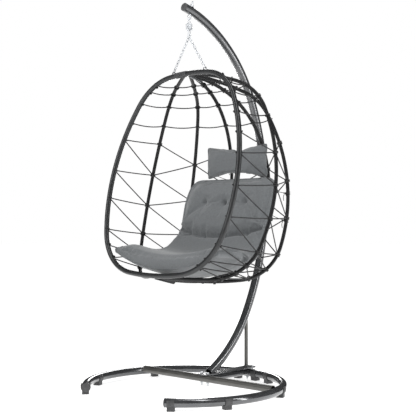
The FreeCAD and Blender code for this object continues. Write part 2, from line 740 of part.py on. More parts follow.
def make_basket_frame(apex):
    for name in BASKET_BENDS:
        outside = cell("hoop_od") if name == "hoop" else cell("rib_od")
        for side_name, side in (("left", -1), ("right", 1)):
            number = name.replace("rib_", "")
            label = f"hoop_{side_name}" if name == "hoop" else f"rib_{side_name}_{number}"
            bent_tube(label, tube_frame(name, side, apex), basket_bends(name), outside, cell("hoop_wall"))
    bottom = apex - UP * dim("basket_height")
    for label, centre in (("hoop_top_spigot", apex), ("hoop_bottom_spigot", bottom)):
        body = new_body(label, facing(centre - ACROSS * 35, ACROSS))
        rod = new_sketch(body, "rod")
        add_circle(rod, f"{cell('hoop_od')} - 2 * {cell('hoop_wall')} - 1.6")
        pad = body.newObject("PartDesign::Pad", f"{label}_pad")
        pad.Profile = rod
        pad.Length = 70
    gap = dim("hoop_od") / 2 - 1.5
    for label, centre, length in (("top_bracket", apex, "top_bracket_length"),
                                  ("bottom_bracket", bottom, "bottom_bracket_length")):
        half, nose, reach = dim("bracket_depth") / 2, gap, gap + dim(length)
        body = new_body(label, axes(centre, BACK, UP))
        plate = new_sketch(body, "outline")
        add_outline(plate, [(nose, -half), (reach - 8, -half), (reach, -half + 8),
                            (reach, half - 8), (reach - 8, half), (nose, half)])
        add_pad(body, plate, cell("bracket_thickness"), midplane=True)
    for side_name, side in (("left", -1), ("right", 1)):
        spread, rise, half = dim("lug_spread"), dim("lug_rise"), dim("lug_width") / 2
        lug = apex + UP * lug_height() + ACROSS * (side * spread)
        foot = UP * (rise - dim("hoop_od") / 2 + 1.0)
        heel, toe = lug - ACROSS * half, lug + ACROSS * half
        points = [heel - foot, heel, toe, toe - foot]
        new_feature(f"chain_lug_{side_name}", bent_wire(points, 4, 5))


# ---------------------------------------------------------------- lacing

def tube_radius(name):
    return (dim("hoop_od") if name == "hoop" else dim("rib_od")) / 2


def cord_run(start, end, start_radius, end_radius):
    """A straight cord between two tubes, let a little into each."""
    along = (end - start).normalize()
    first = start + along * (start_radius - 0.8)
    last = end - along * (end_radius - 0.8)
    return Part.makeCylinder(dim("cord_diameter") / 2, (last - first).Length, first, along)


def wrap(point, tangent, radius):
    """One turn of cord round a tube."""
    return Part.makeTorus(radius + dim("cord_diameter") / 2 + 0.2, dim("cord_diameter") / 2, point, tangent)


def zigzag(depths_first, depths_second):
    """Which crossings a cord joins as it works down between two tubes: each to the last one above."""
    marks = sorted([(depth, 0) for depth in depths_first] + [(depth, 1) for depth in depths_second])
    last, pairs = [None, None], []
    for depth, tube in marks:
        above = last[1 - tube]
        if above is not None:
            pairs.append((depth, above) if tube == 0 else (above, depth))
        last[tube] = depth
    return pairs


def net_between(apex, first, second, pairs):
    """Cord runs between two tubes, each tube given as a name and a side."""
    runs = []
    for depth_first, depth_second in pairs:
        start = tube_point(*first, apex, depth_first)[0]
        end = tube_point(*second, apex, depth_second)[0]
        runs.append(cord_run(start, end, tube_radius(first[0]), tube_radius(second[0])))
    return runs


def wraps_on(apex, name, side, depths):
    rings = []
    for depth in depths:
        point, tangent = tube_point(name, side, apex, depth)
        rings.append(wrap(point, tangent, tube_radius(name)))
    return rings


def make_lacing(apex):
    """Level rows round the top, and a zigzag net between neighbouring tubes below them."""
    order = ("hoop", "rib_1", "rib_2", "rib_3")
    for label, side, net in (("lacing_left", -1, LEFT_NET), ("lacing_right", 1, RIGHT_NET)):
        pieces = []
        for first, second in zip(order, order[1:]):
            pieces += net_between(apex, (first, side), (second, side), zigzag(net[first], net[second]))
        for name in order:
            pieces += wraps_on(apex, name, side, net[name])
        new_feature(label, Part.makeCompound(pieces))
    back = zigzag(LEFT_NET["rib_3"], RIGHT_NET["rib_3"])
    new_feature("lacing_back", Part.makeCompound(net_between(apex, ("rib_3", -1), ("rib_3", 1), back)))
    rows = []
    for drop in TOP_ROWS:
        ring = [(name, -1) for name in order] + [(name, 1) for name in reversed(order)]
        depths = {(name, side): depth_of_drop(name, side, apex, drop) for name, side in ring}
        for first, second in zip(ring, ring[1:]):
            rows += net_between(apex, first, second, [(depths[first], depths[second])])
        for name, side in ring:
            rows += wraps_on(apex, name, side, [depths[name, side]])
    new_feature("lacing_top_rows", Part.makeCompound(rows))


# ---------------------------------------------------------------- soft parts

def curved_section(sketch, half_w, half_t, lift):
    """A flat-bellied lens whose two sides lift, of four arcs."""
    edge = half_t * 0.62
    side = half_w - edge
    below, above = Vector(side, lift - edge, 0), Vector(side, lift + edge, 0)
    tip = Vector(half_w, lift, 0)
    mirror = [Vector(-spot.x, spot.y, 0) for spot in (below, above, tip)]
    sketch.addGeometry(Part.Arc(mirror[0], Vector(0, -half_t, 0), below), False)
    sketch.addGeometry(Part.Arc(below, tip, above), False)
    sketch.addGeometry(Part.Arc(above, Vector(0, half_t, 0), mirror[1]), False)
    sketch.addGeometry(Part.Arc(mirror[1], mirror[2], mirror[0]), False)


def make_cushions():
    body = new_body("seat_back_cushion")
    sketches = []
    for number, (y, z, slope, half_w, half_t, lift) in enumerate(PAD_SECTIONS):
        forward = Vector(0, math.cos(math.radians(slope)), math.sin(math.radians(slope)))
        spot = axes(hang(0, y, z), Vector(1, 0, 0), Vector(1, 0, 0).cross(forward))
        sketch = new_sketch(body, f"section_{number}", offset=spot)
        curved_section(sketch, half_w, half_t, lift)
        sketches.append(sketch)
    loft = body.newObject("PartDesign::AdditiveLoft", "seat_back_cushion_loft")
    loft.Profile = sketches[0]
    loft.Sections = sketches[1:]
    pillow_middle = hang(0, dim("pillow_y"), dim("pillow_z"))
    pillow = new_body("head_pillow", axes(pillow_middle, Vector(1, 0, 0), Vector(0, 1, 0)))
    outline = new_sketch(pillow, "outline")
    curved_section(outline, dim("pillow_width") / 2, dim("pillow_thickness") / 2, 0)
    add_pad(pillow, outline, cell("pillow_height"), midplane=True)


def make_ties(apex):
    """Small cord loops that hold the pillow and the pad to the ribs."""
    loops = {"pillow_ties": ("rib_3", (330, 395)), "cushion_ties": ("rib_2", (500, 640))}
    for label, (name, depths) in loops.items():
        rings = []
        for depth in depths:
            for side in (-1, 1):
                point, tangent = tube_point(name, side, apex, depth)
                rings.append(Part.makeTorus(tube_radius(name) + 2, 1.5, point, tangent))
        new_feature(label, Part.makeCompound(rings))


# ---------------------------------------------------------------- build and write

make_base_ring()
make_end_caps()
make_feet()
plate_bottom = make_crossbar_and_plate()
make_plate_bolts(plate_bottom)
tip = make_pole(plate_bottom + dim("plate_thickness"))
pivot = make_eye_bolt(tip)
loop = make_hanger(pivot)
lugs = make_chains(loop)
apex = lugs - UP * lug_height()
make_basket_frame(apex)
make_lacing(apex)
make_cushions()
make_ties(apex)
doc.recompute()

problems = [item.Label for item in doc.Objects if {"Invalid", "Error"} & set(item.State)]
problems += [node.Label for node in NODES if node.Shape.isNull() or not node.Shape.isValid()]
if problems:
    raise SystemExit(f"failed: {problems}")
os.makedirs("parts", exist_ok=True)
for node in NODES:
    node.Shape.exportStep(f"parts/{node.Label}.step")
for name, place in (("pivot", pivot), ("loop", loop), ("lugs", lugs), ("apex", apex), ("tip", tip)):
    print(name, [round(value, 2) for value in place])
print(len(NODES), "nodes")
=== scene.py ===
# %% [markdown]
# # A hanging egg chair
# A chair like this is a few bent steel tubes, a basket of thin ribs laced with cord, and one soft
# pad. The steel is already drawn as a frame of named parts, each in its real place. This lesson
# leaves the parts that are right as they are and gives them a finish, and it builds anew what is
# soft or wound by hand: the lacing, the bound hoop, the pad, the pillow and their ties.

# %% Load the frame
import json
import math

import bmesh
import bpy
import numpy as np
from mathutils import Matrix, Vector
from mathutils.kdtree import KDTree


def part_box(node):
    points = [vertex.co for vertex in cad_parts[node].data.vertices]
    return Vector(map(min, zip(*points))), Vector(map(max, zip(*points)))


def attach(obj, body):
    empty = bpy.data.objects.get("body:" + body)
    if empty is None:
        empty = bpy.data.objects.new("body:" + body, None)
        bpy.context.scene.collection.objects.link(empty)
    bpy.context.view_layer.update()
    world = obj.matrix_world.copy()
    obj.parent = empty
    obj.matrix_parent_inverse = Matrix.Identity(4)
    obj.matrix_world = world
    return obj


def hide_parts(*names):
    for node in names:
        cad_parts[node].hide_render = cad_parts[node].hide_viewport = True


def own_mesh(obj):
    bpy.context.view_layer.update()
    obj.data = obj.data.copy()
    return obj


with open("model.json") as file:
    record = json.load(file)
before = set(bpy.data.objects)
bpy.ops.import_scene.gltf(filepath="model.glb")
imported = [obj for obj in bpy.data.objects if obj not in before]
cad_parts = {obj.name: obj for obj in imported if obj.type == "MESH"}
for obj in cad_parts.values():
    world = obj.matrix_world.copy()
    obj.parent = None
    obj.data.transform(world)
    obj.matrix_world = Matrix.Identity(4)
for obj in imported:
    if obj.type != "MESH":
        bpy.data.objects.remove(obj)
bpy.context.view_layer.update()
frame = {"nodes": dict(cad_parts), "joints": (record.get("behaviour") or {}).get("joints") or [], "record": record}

MM = 0.001
NODES = frame["nodes"]
JOINTS = {joint["name"]: joint for joint in frame["joints"]}
pivot = Vector(JOINTS["side_swing"]["pos_m"])
print("parts:", len(NODES), "hanging axis:", tuple(round(value, 4) for value in pivot))

# %% [markdown]
# The camera stands at the height of a sitter's chest, about four and a half metres away, and looks
# along the diagonal of the base. A long lens keeps the pole and the ring from leaning. Its place is
# counted from the hanging axis, so it follows the chair if the frame moves.

# %% Camera
camera = bpy.data.objects.new("camera", bpy.data.cameras.new("camera"))
bpy.context.collection.objects.link(camera)
bpy.context.scene.camera = camera
camera.data.lens = 78.95
camera.location = (3.219, pivot.y - 3.225, 0.822)
look_turn, look_rise = math.radians(43.76), math.radians(1.08)
look = Vector((-math.sin(look_turn), math.cos(look_turn), math.tan(look_rise)))
camera.rotation_euler = look.to_track_quat("-Z", "Y").to_euler()
print("camera looks along", tuple(round(value, 3) for value in look))

# %% [markdown]
# Every finish below is a small tree of shader nodes. One function adds a node with its settings and
# its links, and another starts a material with a Principled shader. What is even all over a surface
# is set on the shader itself, and only what varies is drawn by a pattern: colour through a ramp,
# gloss through a range, and relief through a bump of real depth.

# %% Shader helpers
def linear(hex_colour):
    """An sRGB hex colour as the linear numbers that a shader takes."""
    channels = [int(hex_colour[place:place + 2], 16) / 255 for place in (1, 3, 5)]
    flat = [c / 12.92 if c <= 0.04045 else ((c + 0.055) / 1.055) ** 2.4 for c in channels]
    return (*flat, 1.0)


def add_node(tree, kind, inputs, **settings):
    """Add a shader node; an input is a value, or an output of another node."""
    made = tree.nodes.new("ShaderNode" + kind)
    for name, value in settings.items():
        setattr(made, name, value)
    for key, value in inputs.items():
        socket = made.inputs[key]
        if isinstance(value, bpy.types.NodeSocket):
            tree.links.new(value, socket)
        else:
            socket.default_value = value
    return made


def new_finish(name, **values):
    """A material with a Principled shader whose even values are set here."""
    finish = bpy.data.materials.new(name)
    finish.use_nodes = True
    shader = finish.node_tree.nodes["Principled BSDF"]
    for key, value in values.items():
        shader.inputs[key.replace("_", " ")].default_value = value
    return finish, finish.node_tree, shader


def per_metre(size_mm):
    """The scale of a noise whose features have this size."""
    return 1 / (size_mm * MM)


def bands(spacing):
    """The scale of a wave whose bands are this far apart, in the units it reads."""
    return 2 * math.pi / (20 * spacing)


def feed(tree, shader, outputs):
    """Link the outputs of other nodes to a shader's inputs."""
    for key, output in outputs.items():
        tree.links.new(output, shader.inputs[key])


def set_tones(ramp, dark, light, low=0.3, high=0.7):
    """Give a colour ramp its two colours and their places."""
    ramp.elements[0].position, ramp.elements[1].position = low, high
    ramp.elements[0].color, ramp.elements[1].color = linear(dark), linear(light)


# %% [markdown]
# Dark glossy tube shows nothing but what it mirrors, so the light matters as much as the paint. Long
# soft boxes stand round the chair: each becomes one bright line along the tube. The room is bright for
# the cloth and dark in reflections, which gives the tube its dark edges. The floor and the backdrop
# are pale, and the floor glows a little so that it reads as one even white with the backdrop.

# %% Soft boxes
def soft_box(name, place, aim, size, power):
    """An area light at a place, turned to face a point."""
    lamp = bpy.data.lights.new(name, "AREA")
    lamp.shape, lamp.size, lamp.size_y, lamp.energy = "RECTANGLE", size[0], size[1], power
    holder = bpy.data.objects.new(name, lamp)
    holder.location = place
    holder.rotation_euler = (Vector(aim) - Vector(place)).to_track_quat("-Z", "Y").to_euler()
    bpy.context.collection.objects.link(holder)


middle = (0, 0, 0.95)
soft_box("key_box", (-1.6, -3.4, 3.2), middle, (1.6, 2.4), 62)
soft_box("side_strip", (3.4, 1.0, 1.6), middle, (0.35, 3.4), 46)
soft_box("front_strip", (0.6, -4.2, 1.9), middle, (0.25, 3.0), 26)
soft_box("rear_strip", (-2.6, 2.6, 2.2), middle, (0.4, 2.8), 40)
soft_box("top_strip", (1.2, -0.4, 4.0), middle, (0.5, 3.4), 50)
print("lights:", len(bpy.data.lights))

# %% Backdrop and floor
room = bpy.data.worlds.new("pale_room")
bpy.context.scene.world = room
room.use_nodes = True
tree = room.node_tree
tree.nodes.clear()
rays = add_node(tree, "LightPath", {})
paper = add_node(tree, "Background", {"Color": linear("#ffffff")})
dim_room = add_node(tree, "Background", {"Color": linear("#ffffff"), "Strength": 0.42})
dark_studio = add_node(tree, "Background", {"Color": linear("#5a5b5c"), "Strength": 0.35})
unseen = {0: rays.outputs["Is Glossy Ray"], 1: dim_room.outputs[0], 2: dark_studio.outputs[0]}
room_light = add_node(tree, "MixShader", unseen).outputs[0]
choice = {0: rays.outputs["Is Camera Ray"], 1: room_light, 2: paper.outputs[0]}
add_node(tree, "OutputWorld", {"Surface": add_node(tree, "MixShader", choice).outputs[0]})
bpy.context.scene.view_settings.view_transform = "Standard"

floor_shape = bmesh.new()
bmesh.ops.create_grid(floor_shape, x_segments=4, y_segments=4, size=30)
floor_mesh = bpy.data.meshes.new("pale_floor")
floor_shape.to_mesh(floor_mesh)
floor_shape.free()
painted_floor, tree, shader = new_finish("painted_concrete_floor", Roughness=1.0, Specular_IOR_Level=0.0)
place = add_node(tree, "TexCoord", {}).outputs["Object"]
trowel = add_node(tree, "TexNoise", {"Vector": place, "Scale": per_metre(400), "Detail": 3.0})
tones = add_node(tree, "ValToRGB", {"Fac": trowel.outputs["Fac"]})
set_tones(tones.color_ramp, "#f6f6f6", "#fafafa")
feed(tree, shader, {"Base Color": tones.outputs["Color"]})
shader.inputs["Emission Color"].default_value = linear("#ffffff")
shader.inputs["Emission Strength"].default_value = 0.62
floor_mesh.materials.append(painted_floor)
floor = bpy.data.objects.new("pale_floor", floor_mesh)
bpy.context.collection.objects.link(floor)
print("floor and backdrop ready")

# %% [markdown]
# **Powder coat.** The stand is steel tube sprayed with grey powder and baked. Melted powder flows
# almost smooth but keeps a faint orange peel about a millimetre across, which the eye reads as a
# soft edge on every highlight. The gloss is high and the body dark, so a clear coat goes over it.

# %% Painted steel
def powder_coat(name, dark, light, roughness, coat):
    """Baked powder on steel: dark body, orange peel, a clear gloss over it."""
    finish, tree, shader = new_finish(name, Metallic=0.6, Coat_Weight=coat, Coat_Roughness=0.07)
    place = add_node(tree, "TexCoord", {}).outputs["Object"]
    cloud = add_node(tree, "TexNoise", {"Vector": place, "Scale": per_metre(60), "Detail": 4.0})
    peel = add_node(tree, "TexNoise", {"Vector": place, "Scale": per_metre(1.4), "Detail": 2.0})
    tones = add_node(tree, "ValToRGB", {"Fac": cloud.outputs["Fac"]})
    set_tones(tones.color_ramp, dark, light)
    gloss = add_node(tree, "MapRange", {
        "Value": cloud.outputs["Fac"], "To Min": roughness - 0.05, "To Max": roughness + 0.07})
    skin = add_node(tree, "Bump", {
        "Height": peel.outputs["Fac"], "Distance": 0.05 * MM, "Strength": 0.5})
    feed(tree, shader, {"Base Color": tones.outputs["Color"], "Roughness": gloss.outputs["Result"],
                        "Normal": skin.outputs["Normal"]})
    return finish


grey_powder_coat = powder_coat("grey_powder_coat", "#515254", "#5f6062", 0.20, 1.0)
black_powder_coat = powder_coat("black_powder_coat", "#19191a", "#212122", 0.48, 0.1)
hoop_powder_coat = powder_coat("hoop_powder_coat", "#2e2f30", "#38393a", 0.40, 0.25)
satin_powder_coat = powder_coat("satin_powder_coat", "#5c5b58", "#686764", 0.40, 0.3)
pale_powder_coat = powder_coat("pale_powder_coat", "#808284", "#8f9193", 0.38, 0.3)
print("painted finishes:", 5)

# %% [markdown]
# **Bright zinc.** Bolts, chain, spring and hooks are steel dipped or plated with zinc. It is a bare
# metal, so it is fully metallic and its colour is its reflection. Plating on drawn wire keeps small
# duller patches a few millimetres across, and links wear brighter where they rub.

# %% Zinc plate
def zinc_plate():
    """Plated steel wire and bolts: a bright metal with faint duller patches."""
    finish, tree, shader = new_finish("bright_zinc_plate", Metallic=0.75)
    place = add_node(tree, "TexCoord", {}).outputs["Object"]
    patches = add_node(tree, "TexNoise", {"Vector": place, "Scale": per_metre(6), "Detail": 5.0})
    tones = add_node(tree, "ValToRGB", {"Fac": patches.outputs["Fac"]})
    set_tones(tones.color_ramp, "#c9ccd0", "#eef0f2")
    gloss = add_node(tree, "MapRange", {"Value": patches.outputs["Fac"], "To Min": 0.46, "To Max": 0.30})
    skin = add_node(tree, "Bump", {
        "Height": patches.outputs["Fac"], "Distance": 0.03 * MM, "Strength": 0.4})
    feed(tree, shader, {"Base Color": tones.outputs["Color"], "Roughness": gloss.outputs["Result"],
                        "Normal": skin.outputs["Normal"]})
    return finish


bright_zinc = zinc_plate()

# %% [markdown]
# **Moulded polypropylene.** The clip-on feet and the end caps are black plastic from a spark-eroded
# mould, whose fine pits scatter the light and hide scratches. Wear on the floor greys it a little.

# %% Moulded plastic
def moulded_polypropylene():
    """Black moulded plastic with a fine eroded grain."""
    finish, tree, shader = new_finish("moulded_polypropylene", IOR=1.49)
    place = add_node(tree, "TexCoord", {}).outputs["Object"]
    grain = add_node(tree, "TexNoise", {"Vector": place, "Scale": per_metre(0.9), "Detail": 3.0})
    scuffs = add_node(tree, "TexNoise", {"Vector": place, "Scale": per_metre(14), "Detail": 6.0})
    tones = add_node(tree, "ValToRGB", {"Fac": scuffs.outputs["Fac"]})
    set_tones(tones.color_ramp, "#3b3b3c", "#505051")
    gloss = add_node(tree, "MapRange", {"Value": scuffs.outputs["Fac"], "To Min": 0.42, "To Max": 0.62})
    skin = add_node(tree, "Bump", {
        "Height": grain.outputs["Fac"], "Distance": 0.08 * MM, "Strength": 0.6})
    feed(tree, shader, {"Base Color": tones.outputs["Color"], "Roughness": gloss.outputs["Result"],
                        "Normal": skin.outputs["Normal"]})
    return finish


black_plastic = moulded_polypropylene()

# %% [markdown]
# **Resin cord.** The net is round polyethylene cord with a drawn, faintly grooved skin. Grooves run
# along the cord, so this finish reads the piece's own UV map, where one direction is the length in
# metres and the other goes once round.

# %% Cord and binding
def resin_cord(name, dark, light, grooves):
    """Drawn polyethylene: grooves along its length and a dull sheen."""
    finish, tree, shader = new_finish(name, IOR=1.51, Sheen_Weight=0.08)
    around = add_node(tree, "UVMap", {}, uv_map="UVMap").outputs["UV"]
    place = add_node(tree, "TexCoord", {}).outputs["Object"]
    tone = add_node(tree, "TexNoise", {"Vector": place, "Scale": per_metre(25), "Detail": 3.0})
    ribs = add_node(tree, "TexWave", {"Vector": around, "Scale": bands(1 / grooves), "Distortion": 0.6},
                    bands_direction="Y")
    tones = add_node(tree, "ValToRGB", {"Fac": tone.outputs["Fac"]})
    set_tones(tones.color_ramp, dark, light)
    gloss = add_node(tree, "MapRange", {"Value": tone.outputs["Fac"], "To Min": 0.45, "To Max": 0.6})
    skin = add_node(tree, "Bump", {
        "Height": ribs.outputs["Fac"], "Distance": 0.15 * MM, "Strength": 0.6})
    feed(tree, shader, {"Base Color": tones.outputs["Color"], "Roughness": gloss.outputs["Result"],
                        "Normal": skin.outputs["Normal"]})
    return finish


net_cord = resin_cord("net_resin_cord", "#161617", "#202021", 9)
hoop_binding = resin_cord("hoop_resin_binding", "#3f4041", "#4f5051", 6)
print("cord finishes:", net_cord.name, hoop_binding.name)

# %% [markdown]
# **Outdoor polyester.** The pad and the pillow are covered in a plain weave of dyed polyester. Its
# yarns are about half a millimetre apart, too fine to show at this distance, so the weave is drawn
# at four millimetres. Mixed yarns make the grey slightly heathered, and the fibres give it a sheen.
# The weave follows the cover, so it reads a UV map that is laid on each cover in metres.

# %% Woven cover
def woven_polyester(name, dark, light):
    """Plain-woven polyester: crossed yarns, mottled grey, a soft sheen."""
    finish, tree, shader = new_finish(name, IOR=1.5, Roughness=0.85, Sheen_Weight=0.3, Sheen_Roughness=0.5)
    cover = add_node(tree, "UVMap", {}, uv_map="UVMap").outputs["UV"]
    place = add_node(tree, "TexCoord", {}).outputs["Object"]
    yarn = {"Vector": cover, "Scale": bands(4 * MM), "Distortion": 0.4}
    warp = add_node(tree, "TexWave", yarn, bands_direction="X")
    weft = add_node(tree, "TexWave", yarn, bands_direction="Y")
    weave = add_node(tree, "Math", {0: warp.outputs["Fac"], 1: weft.outputs["Fac"]}, operation="MAXIMUM")
    heather = add_node(tree, "TexNoise", {"Vector": place, "Scale": per_metre(9), "Detail": 8.0})
    tones = add_node(tree, "ValToRGB", {"Fac": heather.outputs["Fac"]})
    set_tones(tones.color_ramp, dark, light, 0.25, 0.75)
    skin = add_node(tree, "Bump", {
        "Height": weave.outputs["Value"], "Distance": 0.25 * MM, "Strength": 0.35})
    feed(tree, shader, {"Base Color": tones.outputs["Color"], "Normal": skin.outputs["Normal"]})
    return finish


pad_cloth = woven_polyester("pad_woven_polyester", "#5f6264", "#6c6f71")
pillow_cloth = woven_polyester("pillow_woven_polyester", "#5c5f61", "#696c6e")
piping_cloth = woven_polyester("piping_woven_polyester", "#606365", "#6e7173")

# %% [markdown]
# The steel parts keep their own meshes. Each is given its finish by name: anything of zinc is small
# hardware, anything of plastic touches the floor or closes a tube, and the rest is painted.

# %% Finish the steel parts
FINISH_OF_SLOT = {
    "powder_coat": grey_powder_coat, "rib_coat": black_powder_coat, "bracket_coat": pale_powder_coat,
    "zinc_plate": bright_zinc, "black_plastic": black_plastic, "lacing_cord": net_cord,
    "tie_cord": net_cord, "pad_fabric": pad_cloth, "pillow_fabric": pillow_cloth,
}
for part in frame["record"]["subparts"]:
    mesh = NODES[part["node"]].data
    mesh.materials.clear()
    if part["node"].startswith("hoop_") or part["node"] == "bottom_bracket":
        mesh.materials.append(hoop_powder_coat)
    elif part["node"] in ("crossbar", "brace_strut"):
        mesh.materials.append(satin_powder_coat)
    else:
        mesh.materials.append(FINISH_OF_SLOT[part["material_slot"]])

# %% [markdown]
# Wound and sewn pieces are long and round: cords, bindings, piping. Each can start from a flat grid
# that is rolled into a tube along a path. One side of the grid runs along the path and the other
# goes round it, which also gives a UV map in real metres for the grooves to follow.

# %% Roll a grid along a path
def carried_frames(points, closed):
    """A tangent, a normal and a distance for each point, the normal carried along unturned."""
    count = len(points)
    frames, travelled = [], 0.0
    normal = None
    for number, point in enumerate(points):
        before = points[number - 1] if closed or number else point
        after = points[(number + 1) % count] if closed or number + 1 < count else point
        tangent = (after - before).normalized()
        if normal:
            normal = (normal - tangent * normal.dot(tangent)).normalized()
        else:
            normal = tangent.orthogonal().normalized()
        if number:
            travelled += (point - points[number - 1]).length
        frames.append((point, tangent, normal, travelled))
    return frames


def roll_tube(shape, points, radius, sides, closed=False):
    """Roll a grid into a tube; the radius is a length, or a function of distance and share round."""
    frames = carried_frames(points, closed)
    if closed:
        frames.append((*frames[0][:3], frames[-1][3] + (points[0] - points[-1]).length))
    uv_map = shape.loops.layers.uv.verify()
    rings = len(frames) - 1
    grid = bmesh.ops.create_grid(shape, x_segments=rings, y_segments=sides, size=0.5)["verts"]
    shares = {}
    for vert in grid:
        ring, share = round((vert.co.x + 0.5) * rings), vert.co.y + 0.5
        point, tangent, normal, travelled = frames[ring]
        reach = radius(travelled, share) if callable(radius) else radius
        turn = 2 * math.pi * share
        out = normal * math.cos(turn) + tangent.cross(normal) * math.sin(turn)
        shares[vert] = (travelled, share)
        vert.co = point + out * reach
    for face in {face for vert in grid for face in vert.link_faces}:
        face.smooth = True
        for loop in face.loops:
            loop[uv_map].uv = shares[loop.vert]


def finish_piece(name, shape, finish, body, weld=0.02):
    """Close a shape's seams and ends, turn it outwards and make it a piece that rides on a body."""
    bmesh.ops.remove_doubles(shape, verts=shape.verts, dist=weld * MM)
    open_edges = [edge for edge in shape.edges if edge.is_boundary]
    if open_edges:
        bmesh.ops.holes_fill(shape, edges=open_edges, sides=0)
    bmesh.ops.recalc_face_normals(shape, faces=shape.faces)
    mesh = bpy.data.meshes.new(name)
    shape.to_mesh(mesh)
    shape.free()
    mesh.materials.append(finish)
    piece = bpy.data.objects.new(name, mesh)
    bpy.context.collection.objects.link(piece)
    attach(piece, body)
    print(name, "faces:", len(mesh.polygons))
    return piece


# %% [markdown]
# **The lacing.** In the frame each run of cord is a plain rod and each hitch is a plain ring. Their
# places are right, so they are read from there: the parts of a node that hang together are sorted
# into rods, which have two ends, and rings, which have a middle and an axis.

# %% Read rods and rings from a part
def islands(node):
    """The separate solids of a frame part, as arrays of points."""
    shape = bmesh.new()
    shape.from_mesh(NODES[node].data)
    bmesh.ops.remove_doubles(shape, verts=shape.verts, dist=0.01 * MM)
    left, found = set(shape.verts), []
    while left:
        group, waiting = set(), [left.pop()]
        while waiting:
            vert = waiting.pop()
            group.add(vert)
            for edge in vert.link_edges:
                other = edge.other_vert(vert)
                if other in left:
                    left.discard(other)
                    waiting.append(other)
        found.append(np.array([tuple(vert.co) for vert in group]))
    shape.free()
    return sorted(found, key=lambda points: tuple(points.mean(0).round(4)))


def rods_and_rings(node):
    """Split a lacing part into runs (start, end) and hitches (middle, axis, ring radius)."""
    rods, rings = [], []
    for points in islands(node):
        centre = points.mean(0)
        spans, directions = np.linalg.svd(points - centre, full_matrices=False)[1:]
        if spans[0] > 2.5 * spans[1]:
            along = (points - centre) @ directions[0]
            ends = [Vector(centre + directions[0] * reach) for reach in (along.min(), along.max())]
            rods.append(tuple(ends))
        else:
            axis = directions[2]
            flat = points - centre - np.outer((points - centre) @ axis, axis)
            reach = np.linalg.norm(flat, axis=1)
            rings.append((Vector(centre), Vector(axis), (reach.min() + reach.max()) / 2))
    return rods, rings


# %% [markdown]
# A cord under light tension still sags: the level rows at the top hang in shallow curves, and the
# slanting runs are nearly straight. At each crossing the cord is wound round the tube a few times
# before it goes on, which leaves the small dark lumps that mark every crossing.

# %% Lace the basket
CORD_RADIUS = 3.0 * MM
PIPING_RADIUS = 2.6 * MM
RIB_HITCH_REACH = 13 * MM


def sagging_run(start, end, slack, steps=12):
    """Points of a cord that hangs between two ends, a share of its span below the straight line."""
    sag = (end - start).length * slack
    shares = [number / steps for number in range(steps + 1)]
    return [start.lerp(end, share) - Vector((0, 0, 4 * sag * share * (1 - share))) for share in shares]


def back_loop(middle, axis, reach, behind, steps=14):
    """Points of a cord that passes once behind a tube, out of the sitter's way."""
    toward = (behind - axis * behind.dot(axis)).normalized()
    side = axis.cross(toward)
    turns = [math.radians(-105 + 210 * number / steps) for number in range(steps + 1)]
    return [middle + (toward * math.cos(turn) + side * math.sin(turn)) * reach for turn in turns]


def hitch(middle, axis, reach, turns, steps=14):
    """Points of a cord wound round a tube."""
    side = axis.orthogonal().normalized()
    other = axis.cross(side)
    points = []
    for number in range(turns * steps + 1):
        turn = 2 * math.pi * number / steps
        climb = (number / steps - turns / 2) * 2.06 * CORD_RADIUS
        points.append(middle + axis * climb + (side * math.cos(turn) + other * math.sin(turn)) * reach)
    return points


def lace(node, slack, wraps):
    """Build the cords of one lacing part, wound this many times round each rib."""
    shape = bmesh.new()
    rods, rings = rods_and_rings(node)
    for start, end in rods:
        roll_tube(shape, sagging_run(start, end, slack), CORD_RADIUS, 8)
    for middle, axis, reach in rings:
        if reach > RIB_HITCH_REACH:
            inward = Vector((-middle.x, 0.35, 0))
            roll_tube(shape, back_loop(middle, axis, reach, inward), CORD_RADIUS, 6)
        else:
            roll_tube(shape, hitch(middle, axis, reach, wraps), CORD_RADIUS, 6)
    piece = finish_piece(f"{node}_cord", shape, net_cord, "basket")
    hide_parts(node)
    print(node, "runs:", len(rods), "hitches:", len(rings))


lace("lacing_left", 0.008, 2)
lace("lacing_right", 0.008, 2)
lace("lacing_back", 0.010, 2)
lace("lacing_top_rows", 0.045, 1)

# %% [markdown]
# **The apex binding.** Where the two halves of the front hoop meet at the top, the left half is bound
# with resin strip that covers the joint and gives the bracket something to bite on. The tube's middle
# line is found by cutting a copy of it with upright planes and taking the middle of each cut.

# %% Bind the hoop beside its joint
def middle_at(node, x):
    """The middle of the cut that an upright plane makes through a tube near its top."""
    shape = bmesh.new()
    shape.from_mesh(NODES[node].data)
    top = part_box(node)[1].z
    low = [vert for vert in shape.verts if vert.co.z < top - 0.2]
    bmesh.ops.delete(shape, geom=low, context="VERTS")
    everything = shape.verts[:] + shape.edges[:] + shape.faces[:]
    cut = bmesh.ops.bisect_plane(shape, geom=everything, plane_co=(x, 0, 0), plane_no=(1, 0, 0))["geom_cut"]
    rim = [part.co.copy() for part in cut if isinstance(part, bmesh.types.BMVert)]
    shape.free()
    return sum(rim, Vector()) / len(rim)


def wound_strip(line, reach, pitch, steps=12):
    """Points of a strip wound along a middle line."""
    frames = carried_frames(line, False)
    length = frames[-1][3]
    total = int(length / pitch * steps)
    points, stage = [], 0
    for number in range(total + 1):
        along = length * number / total
        while stage < len(frames) - 2 and frames[stage + 1][3] < along:
            stage += 1
        here, after = frames[stage], frames[stage + 1]
        share = (along - here[3]) / (after[3] - here[3])
        middle, side = here[0].lerp(after[0], share), here[2].lerp(after[2], share).normalized()
        other = here[1].lerp(after[1], share).normalized().cross(side)
        turn = 2 * math.pi * number / steps
        points.append(middle + (side * math.cos(turn) + other * math.sin(turn)) * reach)
    return points


